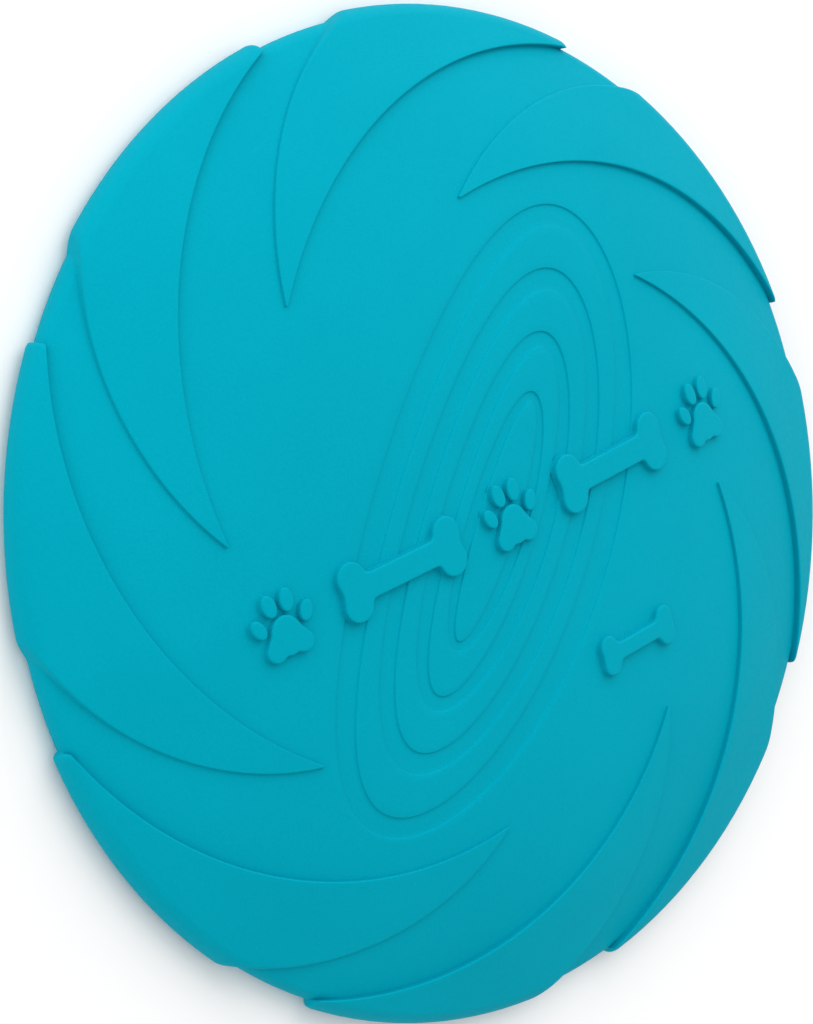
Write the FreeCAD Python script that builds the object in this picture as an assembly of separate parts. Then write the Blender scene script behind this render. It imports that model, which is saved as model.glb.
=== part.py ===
"""Moulded rubber flying disc for throw-and-fetch games on the lawn.

A shallow domed plate runs out into a thick rounded rim.  Eight raised vanes
sweep clockwise from their points on the dome, over the shoulder and round the
rim.  Four shallow oval grooves ring the centre, and a row of raised paw prints
and bones crosses them.

The real disc is one moulding.  Each solid here is one of its moulded features,
and meets its neighbours face to face.

Units are millimetres.  +Z is up, along the spin axis, out of the domed face.
+X runs along the row of paw prints and bones.  The origin is on the spin axis,
in the plane that the rim stands on.
"""

import FreeCAD
import Part
import math
import os

# ---- driving dimensions ---------------------------------------------------
DISC_RADIUS = 90.0  # to the outside of the vanes
VANE_STEP = 1.4  # how far the vanes stand out from the rim
RIM_RADIUS = DISC_RADIUS - VANE_STEP

CROWN_DROP = 5.8  # fall of the dome by DISC_RADIUS, its square-law share
SHOULDER_DROP = 10.2  # the same, its fourth-power share
PLATE_THICKNESS = 2.8

RIM_EDGE = 3.0  # radius of the rim's rounded outside
RIM_WIDTH = 7.6
RIM_CORNER = 2.0  # radius of the inside corner at the foot
JOIN_RADIUS = 78.0  # where the plate runs into the rim

VANE_COUNT = 8
VANE_PHASE = 30.0  # degrees from +X to the first vane's point
VANE_EDGE = 3.6  # radius of the vanes' rounded outside
VANE_TIP_HEIGHT = 0.7  # above the plate, at a vane's point
VANE_RIM_HEIGHT = 1.6  # above the plate, at the shoulder
VANE_FOOT_GAP = 0.6  # the vanes stop this far above the ground
VANE_POINT_ROUND = 0.35
# Each edge of a vane is one arc in plan: (degrees clockwise from its point, radius).
VANE_LONG_EDGE = [(0.0, 54.1), (40.0, 73.8), (82.1, 93.0)]
VANE_SHORT_EDGE = [(0.0, 54.1), (20.0, 76.0), (43.3, 93.0)]
VANE_BLANK_MARGIN = 3.0  # the vanes' turned blank starts this far inside their points

OVAL_ANGLE = 47.2  # degrees from +X to the ovals' long axis
OVAL_CENTRE = (-1.05, -0.95)  # along the long axis, then across it
OVAL_REACH = 58.0
OVAL_BEND = 1.95  # how far the ovals curve to one side, OVAL_REACH from their middle
OVAL_POINTS = 64  # points that each oval's curve passes through
GROOVE_DEPTH = 0.35
# Half length and half width of each groove's outer wall, then of its inner wall.
GROOVES = [
    ((58.4, 26.8), (54.8, 22.1)),
    ((46.8, 18.8), (42.9, 15.4)),
    ((35.2, 12.1), (32.5, 8.9)),
    ((24.1, 6.5), (22.4, 4.2)),
]

MOTIF_HEIGHT = 1.3  # above the plate
ROW_CENTRE = (2.5, -1.2)
ROW_PITCH = 25.4  # between neighbours in the row
SMALL_BONE_CENTRE = (22.8, -33.3)
BONE_LENGTH = 27.0
SMALL_BONE_LENGTH = 18.5
# Of a bone's length: knuckle radius, knuckles' distance from the centre line, half the shaft.
BONE_SHARES = (0.108, 0.094, 0.088)
# The pad is three belts, from the first of these circles to each of the others: (x, y, radius).
PAD_CIRCLES = [(0.0, -0.9, 2.6), (-2.7, -3.8, 2.0), (0.0, -3.3, 2.1), (2.7, -3.8, 2.0)]
# Right-hand toes: (x, y, half length, half width, degrees from +X).  The left ones mirror them.
TOES = [(1.75, 4.1, 2.15, 1.4, 82.0), (4.75, 1.0, 1.95, 1.3, 66.0)]

AXIS_START = FreeCAD.Vector(0, 0, 0)
UP = FreeCAD.Vector(0, 0, 1)
CURVE_STEPS = 10  # points that carry each formula curve
BELOW = -1.0  # the outline tools start under the foot
SINK = 1.2  # how deep a raised feature's blank starts inside the plate
TOUCH = 0.01  # points nearer than this are one point


# ---- the dome's formula ---------------------------------------------------
def drop(r):
    """How far the dome has fallen at radius r."""
    q = r / DISC_RADIUS
    return CROWN_DROP * q**2 + SHOULDER_DROP * q**4


def slope(r):
    """The dome's fall per millimetre at radius r."""
    q = r / DISC_RADIUS
    return (2 * CROWN_DROP * q + 4 * SHOULDER_DROP * q**3) / DISC_RADIUS


def tangent_radius(outer, edge, lift_slope=0.0):
    """The radius where a rounded edge, `outer` at its widest, leaves the dome."""
    r = outer
    for _ in range(20):
        fall = math.atan(slope(r) - lift_slope)
        r = outer - edge + edge * math.sin(fall)
    return r


RIM_TANGENT = tangent_radius(RIM_RADIUS, RIM_EDGE)
RIM_FALL = math.atan(slope(RIM_TANGENT))
DISC_HEIGHT = drop(RIM_TANGENT) + RIM_EDGE * (1 + math.cos(RIM_FALL))


def dome(r):
    """Height of the dome's outer face."""
    return DISC_HEIGHT - drop(r)


def under(r):
    """Height of the plate's underside."""
    return dome(r) - PLATE_THICKNESS * math.hypot(1, slope(r))


def vane_lift(r):
    """How far a vane's face stands above the dome."""
    tip = VANE_LONG_EDGE[0][1]
    share = (r - tip) / (RIM_RADIUS - tip)
    return VANE_TIP_HEIGHT + (VANE_RIM_HEIGHT - VANE_TIP_HEIGHT) * share


# ---- helpers --------------------------------------------------------------
def section_point(r, z):
    """A point of a section that is turned about the spin axis."""
    return FreeCAD.Vector(r, 0, z)


def formula_edge(height, r_from, r_to):
    """A smooth section edge through height(r)."""
    count = CURVE_STEPS
    radii = [r_from + (r_to - r_from) * i / count for i in range(count + 1)]
    curve = Part.BSplineCurve()
    curve.interpolate([section_point(r, height(r)) for r in radii])
    return curve.toShape()


def line(a, b):
    return Part.LineSegment(a, b).toShape()


def arc(a, b, c):
    return Part.Arc(a, b, c).toShape()


def corner_middle(a, corner, b):
    """Middle of the arc that leaves a towards corner and arrives at b."""
    chord_middle = (a + b) * 0.5
    inward = chord_middle - corner
    tangent = (a - corner).Length
    radius = tangent * (a - chord_middle).Length / inward.Length
    inward.normalize()
    return corner + inward * (math.hypot(tangent, radius) - radius)


def turned(edges):
    """The solid that a closed section sweeps about the spin axis."""
    face = Part.Face(Part.Wire(Part.__sortEdges__(edges)))
    solid = face.revolve(AXIS_START, UP, 360)
    if solid.Volume < 0:
        solid.reverse()
    return solid


def in_plan(degrees_clockwise, r):
    """A point below the foot, clockwise from +X."""
    a = -math.radians(degrees_clockwise)
    return FreeCAD.Vector(r * math.cos(a), r * math.sin(a), BELOW)


def outline_tool(edges):
    """A closed outline in plan, raised through the whole disc."""
    face = Part.Face(Part.Wire(Part.__sortEdges__(edges)))
    return face.extrude(UP * (DISC_HEIGHT + 2 * SINK - BELOW))


# ---- plate and rim --------------------------------------------------------
def oval_point(turn, half_length, half_width):
    """A point of an oval whose ends curve to one side, with its long axis along +X."""
    x = half_length * math.cos(turn)
    y = half_width * math.sin(turn) + OVAL_BEND * (x / OVAL_REACH) ** 2
    return FreeCAD.Vector(OVAL_CENTRE[0] + x, OVAL_CENTRE[1] + y, BELOW)


def oval_tool(half_length, half_width):
    turns = [2 * math.pi * i / OVAL_POINTS for i in range(OVAL_POINTS)]
    curve = Part.BSplineCurve()
    points = [oval_point(turn, half_length, half_width) for turn in turns]
    curve.interpolate(Points=points, PeriodicFlag=True)
    tool = outline_tool([curve.toShape()])
    tool.rotate(AXIS_START, UP, OVAL_ANGLE)
    return tool


def layer(bottom, top, r_to):
    """The turned solid between two section curves, from the axis out to r_to."""
    return turned(
        [
            formula_edge(bottom, 0, r_to),
            line(section_point(r_to, bottom(r_to)), section_point(r_to, top(r_to))),
            formula_edge(top, 0, r_to),
            line(section_point(0, bottom(0)), section_point(0, top(0))),
        ]
    )


def flight_plate():
    plate = layer(under, dome, JOIN_RADIUS)
    groove_depths = layer(
        lambda r: dome(r) - GROOVE_DEPTH, lambda r: dome(r) + SINK, JOIN_RADIUS
    )
    for outer, inner in GROOVES:
        ring = oval_tool(*outer).cut(oval_tool(*inner))
        plate = plate.cut(ring.common(groove_depths))
    return plate


def rim():
    inner = RIM_RADIUS - RIM_WIDTH
    centre_r = RIM_RADIUS - RIM_EDGE
    join_low = section_point(JOIN_RADIUS, under(JOIN_RADIUS))
    join_high = section_point(JOIN_RADIUS, dome(JOIN_RADIUS))
    shoulder = section_point(RIM_TANGENT, dome(RIM_TANGENT))
    widest = section_point(RIM_RADIUS, RIM_EDGE)
    foot_outer = section_point(centre_r, 0)
    foot_inner = section_point(inner + RIM_CORNER, 0)
    foot_corner = section_point(inner, 0)
    wall_low = section_point(inner, RIM_CORNER)
    under_slope = (under(JOIN_RADIUS + 1) - under(JOIN_RADIUS - 1)) / 2
    run = inner - JOIN_RADIUS
    under_corner = section_point(inner, join_low.z + under_slope * run)
    reach = math.hypot(run, under_slope * run)
    wall_high = section_point(inner, under_corner.z - reach)
    return turned(
        [
            line(join_low, join_high),
            formula_edge(dome, JOIN_RADIUS, RIM_TANGENT),
            arc(shoulder, widest, foot_outer),
            line(foot_outer, foot_inner),
            arc(foot_inner, corner_middle(foot_inner, foot_corner, wall_low), wall_low),
            line(wall_low, wall_high),
            arc(wall_high, corner_middle(wall_high, under_corner, join_low), join_low),
        ]
    )


# ---- vanes ----------------------------------------------------------------
def vane_ring():
    """A turned blank whose outer face is that of all the vanes."""
    start_r = VANE_LONG_EDGE[0][1] - VANE_BLANK_MARGIN
    inside_r = RIM_RADIUS - RIM_EDGE - RIM_CORNER
    lift_slope = vane_lift(1) - vane_lift(0)
    leave_r = tangent_radius(DISC_RADIUS, VANE_EDGE, lift_slope)
    leave_z = dome(leave_r) + vane_lift(leave_r)
    fall = math.atan(slope(leave_r) - lift_slope)
    centre_r = DISC_RADIUS - VANE_EDGE
    centre_z = leave_z - VANE_EDGE * math.cos(fall)
    drop_to_end = centre_z - VANE_FOOT_GAP
    end_r = centre_r + math.sqrt(VANE_EDGE**2 - drop_to_end**2)
    start_low = section_point(start_r, dome(start_r) - SINK)
    start_high = section_point(start_r, dome(start_r) + vane_lift(start_r))
    leave = section_point(leave_r, leave_z)
    widest = section_point(DISC_RADIUS, centre_z)
    end = section_point(end_r, VANE_FOOT_GAP)
    inside_low = section_point(inside_r, VANE_FOOT_GAP)
    inside_high = section_point(inside_r, dome(inside_r) - SINK)
    return turned(
        [
            line(start_low, start_high),
            formula_edge(lambda r: dome(r) + vane_lift(r), start_r, leave_r),
            arc(leave, widest, end),
            line(end, inside_low),
            line(inside_low, inside_high),
            formula_edge(lambda r: dome(r) - SINK, start_r, inside_r),
        ]
    )


def vane_outline():
    """Plan outline of one vane with its point on +X."""
    long_edge = [in_plan(*p) for p in VANE_LONG_EDGE]
    short_edge = [in_plan(*p) for p in VANE_SHORT_EDGE]
    middle = (VANE_LONG_EDGE[2][0] + VANE_SHORT_EDGE[2][0]) / 2
    outside = in_plan(middle, VANE_LONG_EDGE[2][1])
    tool = outline_tool(
        [arc(*long_edge), arc(long_edge[2], outside, short_edge[2]), arc(*short_edge)]
    )
    tip_r = VANE_LONG_EDGE[0][1]
    tip_edges = [
        e
        for e in tool.Edges
        if all(math.hypot(v.X - tip_r, v.Y) < TOUCH for v in e.Vertexes)
    ]
    return tool.makeFillet(VANE_POINT_ROUND, tip_edges)


def vanes(plate, rim_solid):
    one = vane_ring().common(vane_outline())
    made = {}
    for i in range(VANE_COUNT):
        vane = one.copy()
        vane.rotate(AXIS_START, UP, VANE_PHASE + 360.0 / VANE_COUNT * i)
        made["vane_%d" % (i + 1)] = vane.cut(plate).cut(rim_solid)
    return made


# ---- paw prints and bones -------------------------------------------------
def ellipse_tool(x, y, half_length, half_width, degrees):
    middle = FreeCAD.Vector(0, 0, BELOW)
    tool = outline_tool([Part.Ellipse(middle, half_length, half_width).toShape()])
    tool.rotate(AXIS_START, UP, degrees)
    tool.translate(FreeCAD.Vector(x, y, 0))
    return tool


def belt_tool(first, second):
    """The outline of a belt stretched round two circles, each (x, y, radius)."""
    (ax, ay, ar), (bx, by, br) = first, second
    along = math.atan2(by - ay, bx - ax)
    spread = math.acos((ar - br) / math.hypot(bx - ax, by - ay))

    def on(x, y, r, angle):
        return FreeCAD.Vector(x + r * math.cos(angle), y + r * math.sin(angle), BELOW)

    a_left, b_left = on(*first, along + spread), on(*second, along + spread)
    a_right, b_right = on(*first, along - spread), on(*second, along - spread)
    return outline_tool(
        [
            arc(a_left, on(*first, along + math.pi), a_right),
            line(a_right, b_right),
            arc(b_right, on(*second, along), b_left),
            line(b_left, a_left),
        ]
    )


def paw_tools():
    """One main pad and four toes, each a separate solid."""
    top, *lobes = PAD_CIRCLES
    belts = [belt_tool(top, lobe) for lobe in lobes]
    pad = belts[0].fuse(belts[1:])
    tools = [pad.removeSplitter()]
    for x, y, half_length, half_width, degrees in TOES:
        tools.append(ellipse_tool(x, y, half_length, half_width, degrees))
        tools.append(ellipse_tool(-x, y, half_length, half_width, 180 - degrees))
    return tools


def bone_tools(length):
    """A shaft with two knuckles at each end, in proportion to its length."""
    knuckle, spread, half_shaft = (length * share for share in BONE_SHARES)
    end_x = length / 2 - knuckle
    shaft = belt_tool((-end_x, 0, half_shaft), (end_x, 0, half_shaft))
    places = [(x, y) for x in (-end_x, end_x) for y in (-spread, spread)]
    bone = shaft.fuse([ellipse_tool(x, y, knuckle, knuckle, 0) for x, y in places])
    return [bone.removeSplitter()]


def raised(tools, centre, plate, blank):
    """Stand the outlines on the plate round centre."""
    solids = []
    for tool in tools:
        moved = tool.copy()
        moved.translate(FreeCAD.Vector(*centre, 0))
        solids += moved.common(blank).cut(plate).Solids
    return Part.makeCompound(solids)


def motifs(plate):
    blank = layer(lambda r: dome(r) - SINK, lambda r: dome(r) + MOTIF_HEIGHT, JOIN_RADIUS)
    paw = paw_tools()
    bone = bone_tools(BONE_LENGTH)
    row = [("paw_left", paw), ("bone_left", bone), ("paw_centre", paw)]
    row += [("bone_right", bone), ("paw_right", paw)]
    made = {}
    for i, (name, tools) in enumerate(row):
        x = ROW_CENTRE[0] + ROW_PITCH * (i - (len(row) - 1) / 2)
        made[name] = raised(tools, (x, ROW_CENTRE[1]), plate, blank)
    small = bone_tools(SMALL_BONE_LENGTH)
    made["bone_small"] = raised(small, SMALL_BONE_CENTRE, plate, blank)
    return made


def main():
    os.makedirs("parts", exist_ok=True)
    plate = flight_plate()
    rim_solid = rim()
    nodes = {"flight_plate": plate, "rim": rim_solid}
    nodes.update(vanes(plate, rim_solid))
    nodes.update(motifs(plate))
    for name, shape in nodes.items():
        solids = shape.Solids
        volume = sum(s.Volume for s in solids)
        valid = all(s.isValid() and s.isClosed() for s in solids)
        box = shape.BoundBox
        print(
            "%-14s solids %d  volume %9.1f  valid %s  z %.2f..%.2f"
            % (name, len(solids), volume, valid, box.ZMin, box.ZMax)
        )
        shape.exportStep("parts/%s.step" % name)
    print("disc height %.2f" % DISC_HEIGHT)


main()
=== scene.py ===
"""Looks of the moulded rubber flying disc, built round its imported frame.

Each moulded feature of the disc gets a piece of its own: the domed plate with
its oval grooves, the rim, eight swirl vanes and six raised motifs.  All of them
follow one surface of revolution, the disc's outer skin, so that together they
read as one moulding.  Lengths are millimetres unless a comment says otherwise,
and are turned into metres where a mesh or the camera is made.
"""

import math

import bmesh
import bpy
import numpy as np
from mathutils import Matrix, Vector, geometry


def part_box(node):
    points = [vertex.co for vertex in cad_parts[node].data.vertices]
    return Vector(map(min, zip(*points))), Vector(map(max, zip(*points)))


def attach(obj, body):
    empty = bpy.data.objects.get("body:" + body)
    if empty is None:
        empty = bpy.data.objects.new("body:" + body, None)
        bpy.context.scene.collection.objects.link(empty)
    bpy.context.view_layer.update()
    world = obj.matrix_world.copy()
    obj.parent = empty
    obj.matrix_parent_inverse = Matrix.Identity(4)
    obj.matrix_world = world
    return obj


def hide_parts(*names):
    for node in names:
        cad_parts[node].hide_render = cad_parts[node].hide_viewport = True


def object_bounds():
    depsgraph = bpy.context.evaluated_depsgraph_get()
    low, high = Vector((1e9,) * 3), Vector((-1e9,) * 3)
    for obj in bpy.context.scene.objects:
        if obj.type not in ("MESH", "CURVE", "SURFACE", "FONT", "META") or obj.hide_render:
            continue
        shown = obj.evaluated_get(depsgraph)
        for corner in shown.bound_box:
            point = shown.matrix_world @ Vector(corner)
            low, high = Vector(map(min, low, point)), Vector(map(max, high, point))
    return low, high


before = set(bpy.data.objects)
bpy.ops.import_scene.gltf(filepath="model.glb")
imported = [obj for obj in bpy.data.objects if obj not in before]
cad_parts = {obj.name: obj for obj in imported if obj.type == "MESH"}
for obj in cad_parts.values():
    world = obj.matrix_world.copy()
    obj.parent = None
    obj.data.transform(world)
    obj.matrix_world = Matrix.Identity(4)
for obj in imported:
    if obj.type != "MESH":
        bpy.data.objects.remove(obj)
cad_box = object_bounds()

MM = 0.001
TAU = 2 * math.pi

# ---- sizes read from the frame --------------------------------------------
DISC_RADIUS = cad_box[1].x / MM
RIM_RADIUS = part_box("rim")[1].x / MM
JOIN_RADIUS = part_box("flight_plate")[1].x / MM
CROWN_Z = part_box("flight_plate")[1].z / MM
MOTIF_HEIGHT = cad_box[1].z / MM - CROWN_Z

# ---- driving sizes, in millimetres ----------------------------------------
CROWN_DROP = 5.8  # fall of the dome by DISC_RADIUS, its square-law share
SHOULDER_DROP = 10.2  # the same, its fourth-power share
PLATE_THICKNESS = 2.8
RIM_EDGE = 3.0  # radius of the rim's rounded outside
RIM_WIDTH = 7.6
RIM_CORNER = 2.0  # radius of the rim's lower inside corner
CLEARANCE = 0.02  # how far the vanes stay inside the frame's box

VANE_COUNT = 8
VANE_PHASE = 30.0  # degrees from +X to the first vane's point
VANE_LIFT = DISC_RADIUS - RIM_RADIUS - CLEARANCE  # height of a vane's long edge at the shoulder
VANE_SHORT_LIFT = 1.36  # height of its short edge, round the rim
VANE_TIP_LIFT = 0.62  # height of its point
VANE_SHORT_RISE = (77.0, 90.0)  # skin coordinates between which the short edge gets higher
VANE_POINT_ROUND = 0.21  # radius of its point in plan
VANE_TIP_WALL = 0.50  # width of the walls at a vane's point, as a share of the full wall
VANE_WALL_GROWS = (57.0, 77.0)  # skin coordinates between which the walls reach full width
VANE_START = 2.0  # a vane's rows start this far outside its point
# Each edge of a vane is one arc in plan: (degrees clockwise from its point, radius).
VANE_LONG_EDGE = [(0.0, 54.8), (40.0, 73.8), (82.1, 93.0)]
VANE_SHORT_EDGE = [(0.0, 54.8), (20.0, 76.0), (43.3, 93.0)]
VANE_END_RADIUS = 88.5  # the long edge reaches this radius, then drops square over the rim's side
VANE_FADE = (96.0, 131.0)  # degrees round the rim over which a vane's lower end fades out

OVAL_ANGLE = 47.2  # degrees from +X to the ovals' long axis
OVAL_CENTRE = (-1.05, -0.95)  # along the long axis, then across it
OVAL_REACH = 58.0
OVAL_BEND = 1.95  # how far the ovals curve to one side, OVAL_REACH from their middle
# Half length and half width of each groove's outer wall, then of its inner wall.
GROOVES = [
    ((58.4, 26.8), (54.8, 22.1)),
    ((46.8, 18.8), (42.9, 15.4)),
    ((35.2, 12.1), (32.5, 8.9)),
    ((24.1, 6.5), (22.4, 4.2)),
]
GROOVE_DEPTH = 0.35
GROOVE_WALL = 0.30  # width of a groove's walls

# The section of a raised edge, for a step of WALL_HEIGHT.
WALL_HEIGHT = 1.2
WALL_FOOT = 0.09  # radius of the hollow at its foot
WALL_DRAFT = 0.05  # how far the wall leans in on its way up
WALL_ROUND = 0.34  # radius of its rounded top
SINK = 0.03  # a raised feature's outline is just under the skin that it grows from
ROOT = 0.45  # how deep a raised feature's hidden back lies

# ---- how finely the meshes are cut ----------------------------------------
SEGMENTS = 512  # round the disc
FOOT_POINTS = 5  # up a raised edge: its foot, the straight part and its rounded top
STRAIGHT_POINTS = 4
TOP_POINTS = 8
GROOVE_WALL_RINGS = 7
GROOVE_FLOOR_RINGS = 3
LAND_RINGS = [7, 4, 4, 4]  # between the grooves, from the middle out
OUTER_RINGS = 26  # from the last groove to the rim
RIM_TOP_POINTS = 14
RIM_EDGE_POINTS = 56
RIM_FLAT_POINTS = 4
RIM_CORNER_POINTS = 12
RIM_NECK_POINTS = 14
VANE_DOME_ROWS = 84
VANE_EDGE_ROWS = 46
VANE_FINE = 1.0  # the edge rows begin this far inside the shoulder
VANE_TIP_POINTS = 9
VANE_COLUMNS = 14
SHARP_ANGLE = 50  # degrees between faces that make a hard edge
SOLVER_ROUNDS = 30

# ---- paws and bones, in millimetres ---------------------------------------
BONE_LENGTH = 27.0
SMALL_BONE_LENGTH = 18.5
BONE_SHARES = (0.108, 0.094, 0.088)  # of its length: knuckle radius, knuckle offset, half shaft
# A paw's pad is stretched from the first circle to each of the others: x, y and radius.
PAD_CIRCLES = [(0.0, -0.9, 2.5), (-2.7, -3.8, 1.95), (0.0, -3.3, 2.05), (2.7, -3.8, 1.95)]
# Each toe is an oval: x, y, half length, half width and degrees from +X.
TOES = [(1.75, 4.1, 2.15, 1.4, 82.0), (4.75, 1.0, 1.95, 1.3, 66.0)]
PAW_ROUND = 0.7  # how far inside corners are rounded
BONE_ROUND = 1.2
# The walk round an outline sets out from a point that is outside it, above its middle.
PAD_START = (0.0, 2.0)
TOE_START = 3.0  # this far above the toe's middle
BONE_START = (0.0, 3.0)
OUTLINE_SPACING = 0.22  # between the points of a motif's outline
OUTLINE_LIMIT = 2000  # points at most
TOP_PITCH = 0.7  # between the points on a motif's flat top
TOP_ROWS = 0.866  # between their rows, as a share of the pitch
TOP_MARGIN = 0.45  # between them and the top's edge, as a share of the pitch


# ---- the disc's outer skin ------------------------------------------------
def fall(r):
    """How far the dome has fallen from its crown at radius r."""
    q = r / DISC_RADIUS
    return CROWN_DROP * q**2 + SHOULDER_DROP * q**4


def fall_slope(r):
    """How steeply the dome falls at radius r."""
    q = r / DISC_RADIUS
    return (2 * CROWN_DROP * q + 4 * SHOULDER_DROP * q**3) / DISC_RADIUS


def shoulder():
    """Where the rim's rounded edge leaves the dome: (radius, angle round the edge)."""
    r = RIM_RADIUS
    for _ in range(SOLVER_ROUNDS):
        angle = math.atan(fall_slope(r))
        r = RIM_RADIUS - RIM_EDGE + RIM_EDGE * math.sin(angle)
    return r, angle


SHOULDER_R, SHOULDER_ANGLE = shoulder()


def dome(r):
    """Height of the outer skin."""
    return CROWN_Z - fall(r)


def under(r):
    """Height of the plate's underside."""
    return dome(r) - PLATE_THICKNESS * np.hypot(1, fall_slope(r))


def skin_at(degrees):
    """Skin coordinate at an angle round the rim's edge: 0 is up, 90 is the equator."""
    return SHOULDER_R + RIM_EDGE * (math.radians(degrees) - SHOULDER_ANGLE)


def turn_at(s):
    """The skin's tilt from level at s."""
    on_dome = np.arctan(fall_slope(np.minimum(s, SHOULDER_R)))
    return np.where(s < SHOULDER_R, on_dome, SHOULDER_ANGLE + (s - SHOULDER_R) / RIM_EDGE)


def plan_radius(s, lift=0.0):
    """Radius in plan of a point that stands lift over the skin."""
    turn = turn_at(s)
    on_edge = RIM_RADIUS - RIM_EDGE + RIM_EDGE * np.sin(turn)
    return np.where(s < SHOULDER_R, s, on_edge) + lift * np.sin(turn)


def skin(s, angle, lift=0.0):
    """Points over the skin.  s is the radius on the dome, and goes on round the rim's edge."""
    s, angle, lift = np.broadcast_arrays(*(np.asarray(v, float) for v in (s, angle, lift)))
    turn = turn_at(s)
    r = plan_radius(s, lift)
    on_dome = dome(np.minimum(s, SHOULDER_R))
    z = np.where(s < SHOULDER_R, on_dome, RIM_EDGE + RIM_EDGE * np.cos(turn))
    z = z + lift * np.cos(turn)
    return np.stack([r * np.cos(angle), r * np.sin(angle), z], -1)


# ---- shaping helpers ------------------------------------------------------
def ease(t):
    """A step from 0 to 1 that starts and ends level."""
    t = np.clip(t, 0, 1)
    return t * t * t * (t * (6 * t - 15) + 10)


def rise(value, span):
    """0 before the span, 1 after it, and eased between."""
    start, stop = span
    return ease((value - start) / (stop - start))


def wall_section():
    """(distance inside the edge's line, share of its height) up a raised edge, foot first."""
    foot = np.linspace(0, math.pi / 2, FOOT_POINTS)
    top = np.linspace(0, math.pi / 2, TOP_POINTS)
    across = [WALL_FOOT * (np.sin(foot) - 1), WALL_DRAFT + WALL_ROUND * (1 - np.cos(top))]
    up = [WALL_FOOT * (1 - np.cos(foot)), WALL_HEIGHT + WALL_ROUND * (np.sin(top) - 1)]
    low, high = (across[0][-1], up[0][-1]), (across[1][0], up[1][0])
    middle = np.linspace(low, high, STRAIGHT_POINTS)[1:-1]
    across.insert(1, middle[:, 0])
    up.insert(1, middle[:, 1])
    return list(zip(np.concatenate(across), np.concatenate(up) / WALL_HEIGHT))


WALL = wall_section()
WALL_WIDTH = WALL[-1][0]


# ---- meshes ---------------------------------------------------------------
def make_object(name, points, faces, material):
    """A mesh object in the scene, from points in millimetres."""
    mesh = bpy.data.meshes.new(name)
    mesh.from_pydata((np.asarray(points) * MM).tolist(), [], faces)
    bm = bmesh.new()
    bm.from_mesh(mesh)
    bmesh.ops.recalc_face_normals(bm, faces=bm.faces)
    bm.to_mesh(mesh)
    bm.free()
    mesh.shade_smooth()
    mesh.set_sharp_from_angle(angle=math.radians(SHARP_ANGLE))
    mesh.materials.append(material)
    piece = bpy.data.objects.new(name, mesh)
    bpy.context.scene.collection.objects.link(piece)
    return piece


def place(piece, *nodes):
    """Hangs the piece on the root body and hides the frame's nodes that it stands for."""
    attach(piece, "root")
    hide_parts(*nodes)


def closed(front, back, faces):
    """A closed solid: the front faces, the same faces on the back, and a wall round them."""
    count = len(front)
    used = set()
    for face in faces:
        for a, b in zip(face, face[1:] + face[:1]):
            used.add((a, b))
    walls = [[b, a, a + count, b + count] for a, b in used if (b, a) not in used]
    backs = [[v + count for v in reversed(face)] for face in faces]
    return np.concatenate([front, back]), faces + backs + sorted(walls)


def ring_faces(rings, around, start=0):
    """Quads between closed rings of points that follow each other."""
    faces = []
    for k in range(rings - 1):
        low, high = start + k * around, start + (k + 1) * around
        for i in range(around):
            j = (i + 1) % around
            faces.append([low + i, low + j, high + j, high + i])
    return faces


# ---- plate and rim --------------------------------------------------------
def around_angles():
    """The angles of the points round the disc."""
    return np.arange(SEGMENTS) * TAU / SEGMENTS


def step_rings(oval, low, high):
    """Rings across a groove's wall: the depth eases from low, inside, to high, outside."""
    t = np.linspace(0, 1, GROOVE_WALL_RINGS)
    offset = (t - 0.5) * GROOVE_WALL
    a, b = oval
    return [(a + o, b + o, low + (high - low) * h, 1.0) for o, h in zip(offset, ease(t))]


def fill_rings(start, stop, count):
    """Rings spaced evenly between two rings, without either."""
    start, stop = np.array(start), np.array(stop)
    return [tuple(start + (stop - start) * (i + 1) / (count + 1)) for i in range(count)]


def plate_rings():
    """(half length, half width, depth, lean) of each ring on the plate, from the middle out."""
    rings = []
    last = (0.0, 0.0, 0.0, 1.0)
    for gap, (outer, inner) in zip(LAND_RINGS, reversed(GROOVES)):
        inner_wall = step_rings(inner, 0.0, GROOVE_DEPTH)
        outer_wall = step_rings(outer, GROOVE_DEPTH, 0.0)
        rings += fill_rings(last, inner_wall[0], gap)
        rings += inner_wall
        rings += fill_rings(inner_wall[-1], outer_wall[0], GROOVE_FLOOR_RINGS)
        rings += outer_wall
        last = rings[-1]
    edge = (JOIN_RADIUS, JOIN_RADIUS, 0.0, 0.0)
    return rings + fill_rings(last, edge, OUTER_RINGS) + [edge]


def oval_points(half_length, half_width, lean):
    """Points round an oval in plan.  lean goes from 0, a centred one, to 1, as the grooves are."""
    t = around_angles()
    x = half_length * np.cos(t)
    y = half_width * np.sin(t) + lean * (OVAL_CENTRE[1] + OVAL_BEND * (x / OVAL_REACH) ** 2)
    x = x + lean * OVAL_CENTRE[0]
    c, s = math.cos(math.radians(OVAL_ANGLE)), math.sin(math.radians(OVAL_ANGLE))
    return np.stack([x * c - y * s, x * s + y * c], -1)


def flight_plate(material):
    rings = plate_rings()
    plan = np.concatenate([oval_points(a, b, lean) for a, b, _, lean in rings])
    plan = np.concatenate([plan, oval_points(0.0, 0.0, 1.0)[:1]])
    r = np.hypot(plan[:, 0], plan[:, 1])
    depth = np.concatenate([np.full(SEGMENTS, ring[2]) for ring in rings] + [[0.0]])
    front = np.column_stack([plan, dome(r) - depth])
    back = np.column_stack([plan, under(r)])
    count = len(front) - 1
    faces = ring_faces(len(rings), SEGMENTS)
    faces += [[count, i, (i + 1) % SEGMENTS] for i in range(SEGMENTS)]
    points, faces = closed(front, back, oriented(faces, front))
    piece = make_object("flight_plate_moulded", points, faces, material)
    place(piece, "flight_plate")


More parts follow.
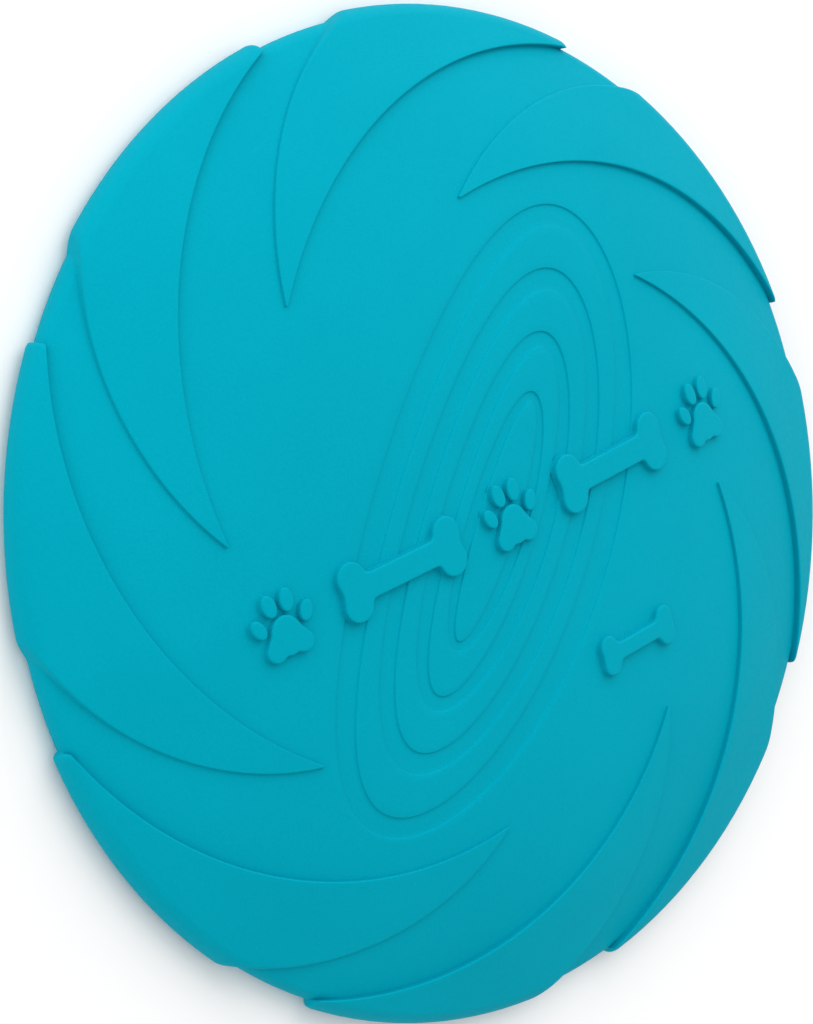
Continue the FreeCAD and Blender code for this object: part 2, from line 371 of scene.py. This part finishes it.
def oriented(faces, points):
    """The faces with a consistent winding, counter-clockwise seen from above."""
    out = []
    for face in faces:
        a, b, c, d = (points[v] for v in (face[0], face[1], face[2], face[-1]))
        area = (c[0] - a[0]) * (d[1] - b[1]) - (c[1] - a[1]) * (d[0] - b[0])
        out.append(face if area > 0 else face[::-1])
    return out


def fillet(a, corner, b, count):
    """Points of the arc from a to b that is tangent to a-corner and corner-b."""
    a, corner, b = (np.array(p, float) for p in (a, corner, b))
    inward = (a + b) / 2 - corner
    half = math.acos(np.dot(a - corner, inward) / np.linalg.norm(a - corner) / np.linalg.norm(inward))
    tangent = np.linalg.norm(a - corner)
    centre = corner + inward / np.linalg.norm(inward) * tangent / math.cos(half)
    start = math.atan2(*(a - centre)[::-1])
    sweep = (math.atan2(*(b - centre)[::-1]) - start + math.pi) % TAU - math.pi
    angle = start + sweep * np.linspace(0, 1, count)
    radius = tangent * math.tan(half)
    return np.stack([centre[0] + radius * np.cos(angle), centre[1] + radius * np.sin(angle)], -1)


def rim_section():
    """The rim's section as (radius, height) points, from the join over the outside to the join."""
    inner = RIM_RADIUS - RIM_WIDTH
    s = np.concatenate(
        [
            np.linspace(JOIN_RADIUS, SHOULDER_R, RIM_TOP_POINTS, endpoint=False),
            np.linspace(SHOULDER_R, skin_at(180), RIM_EDGE_POINTS),
        ]
    )
    outside = skin(s, 0.0)[:, [0, 2]]
    slope = (under(JOIN_RADIUS + 1) - under(JOIN_RADIUS - 1)) / 2  # over 2 mm of radius
    run = inner - JOIN_RADIUS
    join_low = (JOIN_RADIUS, under(JOIN_RADIUS))
    corner = (inner, join_low[1] + slope * run)
    wall_high = (inner, corner[1] - math.hypot(run, slope * run))
    foot = fillet((inner + RIM_CORNER, 0), (inner, 0), (inner, RIM_CORNER), RIM_CORNER_POINTS)
    neck = fillet(wall_high, corner, join_low, RIM_NECK_POINTS)
    flat = np.linspace((RIM_RADIUS - RIM_EDGE, 0), (inner + RIM_CORNER, 0), RIM_FLAT_POINTS)
    wall = np.linspace((inner, RIM_CORNER), (inner, wall_high[1]), RIM_FLAT_POINTS)
    return np.concatenate([outside, flat[1:-1], foot, wall[1:-1], neck])


def rim(material):
    section = rim_section()
    angle = around_angles() + math.radians(OVAL_ANGLE)
    r, z = section[:, :1], section[:, 1:]
    points = np.stack(
        [r * np.cos(angle), r * np.sin(angle), np.broadcast_to(z, (len(section), SEGMENTS))], -1
    ).reshape(-1, 3)
    faces = ring_faces(len(section), SEGMENTS)
    last = (len(section) - 1) * SEGMENTS
    for i in range(SEGMENTS):
        j = (i + 1) % SEGMENTS
        faces.append([last + i, last + j, j, i])
    piece = make_object("rim_moulded", points, faces, material)
    place(piece, "rim")


# ---- vanes ----------------------------------------------------------------
def circle_through(marks):
    """(centre, radius) of the arc through three (degrees clockwise, radius) marks."""
    a, b, c = (
        np.array([r * math.cos(math.radians(d)), -r * math.sin(math.radians(d))]) for d, r in marks
    )
    lines = np.array([b - a, c - a])
    values = np.array([b @ b - a @ a, c @ c - a @ a]) / 2
    centre = np.linalg.solve(lines, values)
    return centre, np.linalg.norm(a - centre)


LONG_CENTRE, LONG_RADIUS = circle_through(VANE_LONG_EDGE)
SHORT_CENTRE, SHORT_RADIUS = circle_through(VANE_SHORT_EDGE)


def edge_angle(centre, radius, r):
    """Angle in plan where a vane's edge circle crosses radius r."""
    reach = np.linalg.norm(centre)
    cosine = (r**2 + reach**2 - radius**2) / (2 * r * reach)
    return math.atan2(centre[1], centre[0]) + np.arccos(np.clip(cosine, -1, 1))


def wall_width(s):
    """Width of a vane's walls, as a share of the full wall."""
    return VANE_TIP_WALL + (1 - VANE_TIP_WALL) * rise(s, VANE_WALL_GROWS)


def wall_radius(s, lift):
    """Radius in plan that places a vane's wall.  Walls stand straight up, as a mould leaves them."""
    return plan_radius(np.minimum(s, skin_at(90)), lift)


def point_centre():
    """Centre of a vane's rounded point: VANE_POINT_ROUND inside both edges."""
    middle = np.array([VANE_LONG_EDGE[0][1] + VANE_START, -VANE_START])
    for _ in range(SOLVER_ROUNDS):
        to_long, to_short = middle - LONG_CENTRE, middle - SHORT_CENTRE
        miss = np.array(
            [
                np.linalg.norm(to_long) - LONG_RADIUS - VANE_POINT_ROUND,
                np.linalg.norm(to_short) - SHORT_RADIUS + VANE_POINT_ROUND,
            ]
        )
        slopes = np.array([to_long / np.linalg.norm(to_long), to_short / np.linalg.norm(to_short)])
        middle = middle - np.linalg.solve(slopes, miss)
    return middle


def vane_rows():
    """Share of the way from a vane's point to its lower end for each row."""
    start = VANE_LONG_EDGE[0][1] + VANE_START
    fine = SHOULDER_R - VANE_FINE
    stop = skin_at(VANE_FADE[1])
    s = np.concatenate(
        [
            np.linspace(start, fine, VANE_DOME_ROWS, endpoint=False),
            np.linspace(fine, stop, VANE_EDGE_ROWS),
        ]
    )
    return (s - start) / (stop - start)


def vane_height(s, share, across):
    """How far a vane stands over the skin at s, at this share of its full height.

    across goes from 0 at its long edge, which is the higher one, to 1 at its short edge.
    """
    tip = VANE_LONG_EDGE[0][1]
    along = np.clip((s - tip) / (SHOULDER_R - tip), 0, 1)
    at_long = VANE_TIP_LIFT + (VANE_LIFT - VANE_TIP_LIFT) * along
    at_short = VANE_TIP_LIFT + (VANE_SHORT_LIFT - VANE_TIP_LIFT) * rise(s, VANE_SHORT_RISE)
    share = share * (1 - rise(s, [skin_at(degrees) for degrees in VANE_FADE]))
    return (at_long + (at_short - at_long) * across) * share - SINK * (1 - share)


def vane_rings():
    """Skin coordinates, angles and height shares of the rings up a vane's walls, foot first.

    A ring goes up the long edge from the lower end, round the point and down the short edge.
    The last value is how far across the vane each point of a ring is.
    """
    rows = vane_rows()
    middle = point_centre()
    stop = skin_at(VANE_FADE[1])
    tip_width = wall_width(0)
    to_long = (LONG_CENTRE - middle) / np.linalg.norm(LONG_CENTRE - middle)
    to_short = (middle - SHORT_CENTRE) / np.linalg.norm(middle - SHORT_CENTRE)
    first = math.atan2(to_long[1], to_long[0])
    sweep = (math.atan2(to_short[1], to_short[0]) - first) % TAU - TAU
    tip_across = np.linspace(0, 1, VANE_TIP_POINTS + 2)
    turns = first + sweep * tip_across
    ring_across = np.concatenate([np.zeros(len(rows)), tip_across[1:-1], np.ones(len(rows))])
    s_all, angle_all, share_all = [], [], []
    for offset, share in WALL:
        radius = VANE_POINT_ROUND - offset * tip_width
        tip = middle + radius * np.stack([np.cos(turns), np.sin(turns)], -1)
        tip_r = np.hypot(tip[:, 0], tip[:, 1])
        tip_s = tip_r - vane_height(tip_r, share, tip_across) * np.sin(turn_at(tip_r))
        long_s = tip_s[0] + rows * (stop - tip_s[0])
        short_s = tip_s[-1] + rows * (stop - tip_s[-1])
        long_r = wall_radius(long_s, vane_height(long_s, share, 0))
        long_r = np.minimum(long_r, VANE_END_RADIUS)
        long_angle = edge_angle(LONG_CENTRE, LONG_RADIUS + offset * wall_width(long_s), long_r)
        short_r = wall_radius(short_s, vane_height(short_s, share, 1))
        short_angle = edge_angle(SHORT_CENTRE, SHORT_RADIUS - offset * wall_width(short_s), short_r)
        s_all.append(np.concatenate([long_s[::-1], tip_s[1:-1], short_s]))
        tip_angle = np.arctan2(tip[1:-1, 1], tip[1:-1, 0])
        angle_all.append(np.concatenate([long_angle[::-1], tip_angle, short_angle]))
        share_all.append(np.full(len(s_all[-1]), share))
    return s_all, angle_all, share_all, ring_across


def vane_top_faces(around, inner, start):
    """Faces between the two sides of the innermost ring, whose first point is number inner.

    Each rung between the sides has VANE_COLUMNS points of its own, numbered from start.
    """

    def rung(p):
        inside = [start + p * VANE_COLUMNS + c for c in range(VANE_COLUMNS)]
        return [inner + p] + inside + [inner + around - 1 - p]

    pairs = around // 2
    faces = []
    for p in range(pairs - 1):
        near, far = rung(p), rung(p + 1)
        for c in range(VANE_COLUMNS + 1):
            faces.append([near[c], far[c], far[c + 1], near[c + 1]])
    last = rung(pairs - 1)
    apex = inner + pairs
    for c in range(VANE_COLUMNS + 1):
        faces.append([last[c], apex, last[c + 1]])
    return faces


def vane_grid():
    """Skin coordinates, angles, height shares and places across of one vane, with its faces."""
    s_all, angle_all, share_all, ring_across = vane_rings()
    across_all = [ring_across] * len(WALL)
    around = len(ring_across)
    faces = []
    for k in range(len(WALL) - 1):
        for i in range(around - 1):
            low, high = k * around + i, (k + 1) * around + i
            faces.append([low, low + 1, high + 1, high])

    # The flat top: rungs from the long side of the innermost ring to its short side.
    inner_s, inner_angle = s_all[-1], angle_all[-1]
    blend = np.linspace(0, 1, VANE_COLUMNS + 2)[1:-1]
    for p in range(around // 2):
        q = around - 1 - p
        s_all.append(inner_s[p] + (inner_s[q] - inner_s[p]) * blend)
        angle_all.append(inner_angle[p] + (inner_angle[q] - inner_angle[p]) * blend)
        share_all.append(np.ones(VANE_COLUMNS))
        across_all.append(ring_across[p] + (ring_across[q] - ring_across[p]) * blend)
    faces += vane_top_faces(around, (len(WALL) - 1) * around, len(WALL) * around)
    s, angle, share, across = map(np.concatenate, (s_all, angle_all, share_all, across_all))
    return s, angle, share, across, faces


def vanes(material):
    s, angle, share, across, faces = vane_grid()
    for i in range(VANE_COUNT):
        turned = angle + math.radians(VANE_PHASE) + TAU * i / VANE_COUNT
        front = skin(s, turned, vane_height(s, share, across))
        back = skin(s, turned, -ROOT * (1 + share) / 2)
        points, all_faces = closed(front, back, faces)
        node = "vane_%d" % (i + 1)
        piece = make_object(node + "_moulded", points, all_faces, material)
        place(piece, node)


# ---- paw prints and bones -------------------------------------------------
def belt_distance(p, first, second):
    """Distance outside a belt stretched round two circles, each (x, y, radius)."""
    a, b = np.array(first[:2]), np.array(second[:2])
    length = np.linalg.norm(b - a)
    along_axis = (b - a) / length
    rel = p - a
    par = rel @ along_axis
    perp = np.abs(rel[:, 0] * along_axis[1] - rel[:, 1] * along_axis[0])
    lean = (first[2] - second[2]) / length
    climb = math.sqrt(1 - lean**2)
    key = -lean * perp + climb * par
    near = np.hypot(perp, par) - first[2]
    far = np.hypot(perp, par - length) - second[2]
    side = climb * perp + lean * par - first[2]
    return np.where(key < 0, near, np.where(key > climb * length, far, side))


def oval_distance(p, x, y, half_length, half_width, degrees):
    """Distance outside an oval, true at its edge and nearly so beside it."""
    c, s = math.cos(math.radians(degrees)), math.sin(math.radians(degrees))
    rel = p - np.array([x, y])
    local = np.stack([rel[:, 0] * c + rel[:, 1] * s, -rel[:, 0] * s + rel[:, 1] * c], -1)
    halves = np.array([half_length, half_width])
    near = np.linalg.norm(local / halves, axis=1)
    steep = np.linalg.norm(local / halves**2, axis=1)
    return near * (near - 1) / np.maximum(steep, 1e-9)


def merged(distances, rounding):
    """Smooth union: inside corners are rounded."""
    out = distances[0]
    for d in distances[1:]:
        h = np.maximum(rounding - np.abs(out - d), 0) / rounding
        out = np.minimum(out, d) - h * h * rounding / 4
    return out


def paw_shapes():
    """Distance functions of a paw print's pad and toes."""
    top, *lobes = PAD_CIRCLES
    shapes = [lambda p: merged([belt_distance(p, top, lobe) for lobe in lobes], PAW_ROUND)]
    for x, y, a, b, degrees in TOES:
        shapes.append(lambda p, v=(x, y, a, b, degrees): oval_distance(p, *v))
        shapes.append(lambda p, v=(-x, y, a, b, 180 - degrees): oval_distance(p, *v))
    return shapes


def bone_shape(length):
    """Distance function of a bone that lies along X."""
    knuckle, spread, half_shaft = (length * share for share in BONE_SHARES)
    end_x = length / 2 - knuckle

    def distance(p):
        parts = [belt_distance(p, (-end_x, 0, half_shaft), (end_x, 0, half_shaft))]
        for x in (-end_x, end_x):
            for y in (-spread, spread):
                parts.append(np.hypot(p[:, 0] - x, p[:, 1] - y) - knuckle)
        return merged(parts, BONE_ROUND)

    return distance


def probe(distance, p):
    """The distance at each point, and its slope."""
    e = 1e-4
    moves = np.array([[0, 0], [e, 0], [-e, 0], [0, e], [0, -e]])
    d = distance((p[None] + moves[:, None]).reshape(-1, 2)).reshape(5, -1)
    return d[0], np.stack([d[1] - d[2], d[3] - d[4]], -1) / (2 * e)


def onto(distance, p, level, rounds=5):
    """The points moved straight to where the distance has this level."""
    for _ in range(rounds):
        d, slope = probe(distance, p)
        p = p - slope * ((d - level) / np.sum(slope * slope, 1))[:, None]
    return p


def outline(distance, start):
    """Evenly spaced points round a shape, found by walking along its edge."""
    spacing = OUTLINE_SPACING
    p = onto(distance, np.array([start], float), 0.0, rounds=40)
    walk = [p]
    for i in range(OUTLINE_LIMIT):
        slope = probe(distance, p)[1][0]
        ahead = np.array([[-slope[1], slope[0]]]) / np.linalg.norm(slope)
        p = onto(distance, p + ahead * spacing, 0.0, rounds=1)
        if i > 10 and np.linalg.norm(p - walk[0]) < spacing * 0.75:
            break
        walk.append(p)
    walk = np.concatenate(walk + [walk[0]])
    length = np.concatenate([[0], np.cumsum(np.linalg.norm(np.diff(walk, axis=0), axis=1))])
    even = np.linspace(0, length[-1], int(round(length[-1] / spacing)), endpoint=False)
    points = np.stack([np.interp(even, length, walk[:, k]) for k in (0, 1)], -1)
    return onto(distance, points, 0.0)


def shape_grid(distance, start):
    """Plan points, height shares and faces of one raised shape."""
    edge = outline(distance, start)
    around = len(edge)
    rings, shares = [], []
    p = onto(distance, edge, WALL_FOOT)
    for offset, share in WALL:
        p = onto(distance, p, -offset)
        rings.append(p)
        shares.append(np.full(around, share))
    faces = ring_faces(len(rings), around)
    inner = rings[-1]
    low, high = inner.min(0), inner.max(0)
    lattice = [
        (x + TOP_PITCH / 2 * (k % 2), y)
        for k, y in enumerate(np.arange(low[1], high[1], TOP_PITCH * TOP_ROWS))
        for x in np.arange(low[0], high[0], TOP_PITCH)
    ]
    lattice = np.array(lattice).reshape(-1, 2)
    lattice = lattice[distance(lattice) < -WALL_WIDTH - TOP_PITCH * TOP_MARGIN]
    corners = [Vector(v) for v in np.concatenate([inner, lattice])]
    result = geometry.delaunay_2d_cdt(corners, [], [list(range(around))], 1, 1e-7)
    found, _, triangles, source, _, _ = result
    assert len(found) == len(corners)
    # The innermost ring and the lattice follow each other in the points as they do in the corners.
    first = (len(rings) - 1) * around
    faces += [[first + source[v][0] for v in face] for face in triangles]
    plan = np.concatenate(rings + [lattice])
    share = np.concatenate(shares + [np.ones(len(lattice))])
    return plan, share, oriented(faces, plan)


def motif_solid(grids, centre):
    """One closed solid per shape, standing on the dome round centre."""
    plans = np.concatenate([g[0] for g in grids])
    middle = (plans.min(0) + plans.max(0)) / 2
    points, faces = [], []
    for plan, share, shape_faces in grids:
        at = plan - middle + centre
        r = np.hypot(at[:, 0], at[:, 1])
        front = np.column_stack([at, dome(r) + MOTIF_HEIGHT * share - SINK * (1 - share)])
        back = np.column_stack([at, dome(r) - ROOT])
        solid, solid_faces = closed(front, back, shape_faces)
        base = sum(len(p) for p in points)
        points.append(solid)
        faces += [[v + base for v in face] for face in solid_faces]
    return np.concatenate(points), faces


def motifs(material):
    starts = [PAD_START]
    starts += [(x * side, y + TOE_START) for x, y, *_ in TOES for side in (1, -1)]
    paw = [shape_grid(distance, start) for distance, start in zip(paw_shapes(), starts)]
    bone = [shape_grid(bone_shape(BONE_LENGTH), BONE_START)]
    small_bone = [shape_grid(bone_shape(SMALL_BONE_LENGTH), BONE_START)]
    nodes = {
        "paw_left": paw,
        "bone_left": bone,
        "paw_centre": paw,
        "bone_right": bone,
        "paw_right": paw,
        "bone_small": small_bone,
    }
    for node, grids in nodes.items():
        low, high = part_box(node)
        centre = np.array([(low.x + high.x) / 2, (low.y + high.y) / 2]) / MM
        points, faces = motif_solid(grids, centre)
        piece = make_object(node + "_moulded", points, faces, material)
        place(piece, node)


# ---- materials ------------------------------------------------------------
RUBBER_DARK = (0.0004, 0.352, 0.468, 1)
RUBBER_LIGHT = (0.0006, 0.371, 0.490, 1)
RUBBER_SHEEN = (0.03, 0.75, 0.85, 1)
# Scales of the noise, from broad clouds of colour down to the grain that the light catches.
CLOUD_SCALE = 28.0
SWELL_SCALE = 90.0
SHEEN_SCALE = 900.0
SPECK_SCALE = 2600.0
GRAIN_SCALE = 3200.0
GRAIN_HEIGHT = 0.04
SWELL_HEIGHT = 0.12


class Nodes:
    """Short hand for building a node tree."""

    def __init__(self, name):
        self.material = bpy.data.materials.new(name)
        self.material.use_nodes = True
        self.tree = self.material.node_tree
        self.shader = self.tree.nodes["Principled BSDF"]

    def add(self, kind, inputs=None, **settings):
        node = self.tree.nodes.new(kind)
        for key, value in settings.items():
            setattr(node, key, value)
        for key, value in (inputs or {}).items():
            self.set(node.inputs[key], value)
        return node

    def set(self, socket, value):
        if isinstance(value, bpy.types.NodeSocket):
            self.tree.links.new(value, socket)
        else:
            socket.default_value = value


def rubber_material():
    n = Nodes("turquoise_rubber")
    place_in = n.add("ShaderNodeTexCoord").outputs["Object"]

    def noise(scale, detail, roughness=0.5):
        inputs = {"Vector": place_in, "Scale": scale, "Detail": detail, "Roughness": roughness}
        return n.add("ShaderNodeTexNoise", inputs).outputs["Fac"]

    def spread(value, low, high):
        inputs = {"Value": value, "From Min": 0.3, "From Max": 0.7, "To Min": low, "To Max": high}
        return n.add("ShaderNodeMapRange", inputs).outputs["Result"]

    cloud = spread(noise(CLOUD_SCALE, 3.0), 0.0, 1.0)
    mottle = n.add("ShaderNodeMix", data_type="RGBA")
    n.set(mottle.inputs["Factor"], cloud)
    n.set(mottle.inputs[6], RUBBER_DARK)
    n.set(mottle.inputs[7], RUBBER_LIGHT)
    specks = spread(noise(SPECK_SCALE, 2.0), 0.965, 1.035)
    tone = n.add("ShaderNodeHueSaturation", {"Color": mottle.outputs[2], "Value": specks})
    n.set(n.shader.inputs["Base Color"], tone.outputs["Color"])
    n.set(n.shader.inputs["Roughness"], spread(noise(SHEEN_SCALE, 2.0), 0.62, 0.74))
    n.set(n.shader.inputs["Specular IOR Level"], 0.09)
    n.set(n.shader.inputs["Specular Tint"], RUBBER_SHEEN)

    grain = n.add("ShaderNodeBump", {"Height": noise(GRAIN_SCALE, 3.0, 0.6), "Strength": 0.25})
    n.set(grain.inputs["Distance"], GRAIN_HEIGHT * MM)
    swell = n.add("ShaderNodeBump", {"Height": noise(SWELL_SCALE, 2.0), "Strength": 0.5})
    n.set(swell.inputs["Distance"], SWELL_HEIGHT * MM)
    n.set(swell.inputs["Normal"], grain.outputs["Normal"])
    n.set(n.shader.inputs["Normal"], swell.outputs["Normal"])
    return n.material


def floor_material():
    n = Nodes("pale_floor")
    place_in = n.add("ShaderNodeTexCoord").outputs["Object"]
    noise = n.add("ShaderNodeTexNoise", {"Vector": place_in, "Scale": 6.0, "Detail": 2.0})
    ramp = n.add(
        "ShaderNodeMapRange",
        {"Value": noise.outputs["Fac"], "To Min": 0.96, "To Max": 0.98},
    )
    n.set(n.shader.inputs["Base Color"], ramp.outputs["Result"])
    n.set(n.shader.inputs["Roughness"], 0.9)
    n.set(n.shader.inputs["Specular IOR Level"], 0.1)
    return n.material


# ---- stage, in millimetres and degrees ------------------------------------
CAMERA_AIM = (-11.7, 4.9, 10.9)
CAMERA_DISTANCE = 740.4
CAMERA_AZIMUTH = 158.4
CAMERA_ELEVATION = 51.98
PICTURE_UP = 68.57  # degrees from +X to the way that is up in the picture, seen on the floor
CAMERA_LENS = 149.9
CAMERA_SENSOR = 36
CAMERA_NEAREST = 10.0  # anything nearer is left out of the picture
FLOOR_HALF = 4000.0  # half the floor's width


def direction(azimuth, elevation):
    a, e = math.radians(azimuth), math.radians(elevation)
    return Vector((math.cos(a) * math.cos(e), math.sin(a) * math.cos(e), math.sin(e)))


def add_camera():
    back = direction(CAMERA_AZIMUTH, CAMERA_ELEVATION)
    side = direction(PICTURE_UP, 0).cross(back).normalized()
    up = back.cross(side)
    at = Vector(CAMERA_AIM) * MM + back * CAMERA_DISTANCE * MM
    data = bpy.data.cameras.new("camera")
    data.lens = CAMERA_LENS
    data.sensor_width = CAMERA_SENSOR
    data.clip_start = CAMERA_NEAREST * MM
    camera = bpy.data.objects.new("camera", data)
    turn = Matrix((side, up, back)).transposed().to_4x4()
    camera.matrix_world = Matrix.Translation(at) @ turn
    bpy.context.scene.collection.objects.link(camera)
    bpy.context.scene.camera = camera


def add_light(name, azimuth, elevation, distance, size, power):
    """A round soft light aimed at the disc.  Distance and size are metres, power is watts."""
    back = direction(azimuth, elevation)
    data = bpy.data.lights.new(name, "AREA")
    data.shape = "DISK"
    data.size = size
    data.energy = power
    light = bpy.data.objects.new(name, data)
    light.location = back * distance
    light.rotation_euler = back.to_track_quat("Z", "Y").to_euler()
    bpy.context.scene.collection.objects.link(light)


def add_sky(brightest, strength, swing):
    """A soft white dome of light, brighter towards one side of the room than the other."""
    world = bpy.data.worlds.new("studio")
    world.use_nodes = True
    tree = world.node_tree
    way = tree.nodes.new("ShaderNodeTexCoord").outputs["Generated"]
    along = tree.nodes.new("ShaderNodeVectorMath")
    along.operation = "DOT_PRODUCT"
    along.inputs[1].default_value = brightest
    tree.links.new(way, along.inputs[0])
    level = tree.nodes.new("ShaderNodeMapRange")
    level.inputs["From Min"].default_value = -1
    level.inputs["To Min"].default_value = strength * (1 - swing)
    level.inputs["To Max"].default_value = strength * (1 + swing)
    tree.links.new(along.outputs["Value"], level.inputs["Value"])
    back = tree.nodes["Background"]
    back.inputs["Color"].default_value = (1, 1, 1, 1)
    tree.links.new(level.outputs["Result"], back.inputs["Strength"])
    bpy.context.scene.world = world


def add_stage():
    mesh = bpy.data.meshes.new("floor")
    half = FLOOR_HALF * MM
    corners = [(-half, -half, 0), (half, -half, 0), (half, half, 0), (-half, half, 0)]
    mesh.from_pydata(corners, [], [(0, 1, 2, 3)])
    mesh.materials.append(floor_material())
    floor = bpy.data.objects.new("floor", mesh)
    bpy.context.scene.collection.objects.link(floor)

    add_sky(brightest=direction(100, 0), strength=0.89, swing=0.60)
    add_light("key", azimuth=52, elevation=46, distance=1.6, size=1.5, power=7.7)
    bpy.context.scene.view_settings.view_transform = "Standard"


add_camera()
rubber = rubber_material()
flight_plate(rubber)
rim(rubber)
vanes(rubber)
motifs(rubber)
add_stage()
